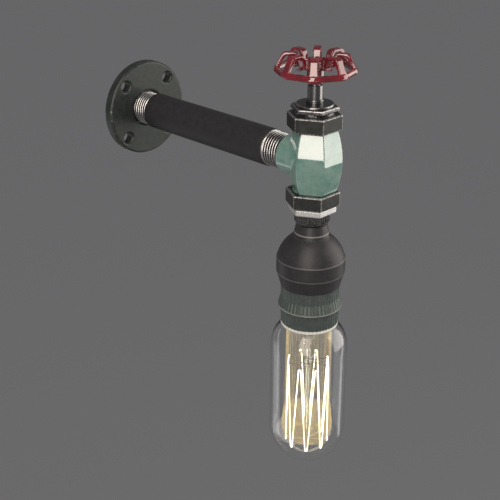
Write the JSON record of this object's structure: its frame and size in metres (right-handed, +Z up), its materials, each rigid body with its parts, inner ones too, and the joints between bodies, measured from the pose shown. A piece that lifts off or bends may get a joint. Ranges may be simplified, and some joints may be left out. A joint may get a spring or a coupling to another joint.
{
  "type": "industrial pipe wall light",
  "caption": "Pipe wall light: wall flange and black pipe arm, upright valve body with red handwheel, screw-shell socket and bare tubular filament bulb hanging below.",
  "frame": {"origin": "centre of the wall flange's back face, on the wall plane and on the pipe's axis", "axes": "+Z up, +Y into the wall so the light stands out along -Y, +X to the right along the wall seen from the room"},
  "size_m": [0.058, 0.167, 0.2497],
  "materials": {
    "dark_cast_iron": "cast, dark green-grey with worn brighter edges",
    "black_pipe": "matt black skin; the bare threads at both ends are bright steel",
    "teal_enamel": "glossy teal-green",
    "dark_nut": "dark, with edges worn bright",
    "gunmetal": "dark polished steel",
    "bright_steel": "bright, lightly scratched",
    "packing_graphite": "braided graphite packing",
    "red_enamel": "glossy deep red",
    "black_phenolic": "moulded",
    "contact_brass": "plain",
    "satin_black": "satin black",
    "grey_shell": "satin dark green-grey with bright worn rims",
    "porcelain": "glazed",
    "brown_insulation": "wire insulation",
    "blue_insulation": "wire insulation",
    "green_insulation": "wire insulation",
    "clear_glass": "clear, smooth",
    "bulb_brass": "thin pressed screw cap",
    "black_glass": "opaque black glass",
    "solder": "solder button",
    "mount_glass": "clear",
    "nickel_wire": "thin drawn wire",
    "glowing_filament": "hot carbon-coloured wire that glows warm white"
  },
  "bodies": {
    "fixture": {"wall_flange": "dark_cast_iron", "pipe_nipple": "black_pipe", "valve_body": "teal_enamel", "bonnet_nut": "dark_nut", "bonnet": "dark_nut", "outlet_nut": "dark_nut", "packing_gland": "gunmetal", "stem_packing": "packing_graphite", "switch_body": "black_phenolic", "switch_contacts": "contact_brass", "outlet_bushing": "bright_steel", "lock_collar": "gunmetal", "lamp_tube": "bright_steel", "tube_nut": "bright_steel", "socket_cap": "satin_black", "earth_screw": "bright_steel", "shade_ring": "grey_shell", "socket_shell": "grey_shell", "socket_core": "porcelain", "screw_shell": "contact_brass", "centre_contact": "contact_brass", "terminal_plates": "contact_brass", "terminal_screws": "bright_steel", "live_wire": "brown_insulation", "lamp_wire": "brown_insulation", "neutral_wire": "blue_insulation", "earth_wire": "green_insulation"},
    "wheel": {"valve_stem": "bright_steel", "handwheel": "red_enamel", "wheel_nut": "red_enamel", "switch_rotor": "contact_brass"},
    "bulb": {"bulb_glass": "clear_glass", "bulb_cap": "bulb_brass", "cap_insulator": "black_glass", "cap_tip": "solder", "glass_mount": "mount_glass", "lead_wires": "nickel_wire", "upper_supports": "nickel_wire", "lower_supports": "nickel_wire", "filament": "glowing_filament"}
  },
  "joints": [
    {"name": "handwheel_turn", "type": "hinge", "parent": "fixture", "child": "wheel", "pos_m": [0, -0.1446, 0], "axis": [0, 0, 1], "range_deg": [0, 90]},
    {"name": "bulb_unscrew", "type": "slide", "parent": "fixture", "child": "bulb", "axis": [0, 0, -1], "range_m": [0, 0.03]}
  ]
}
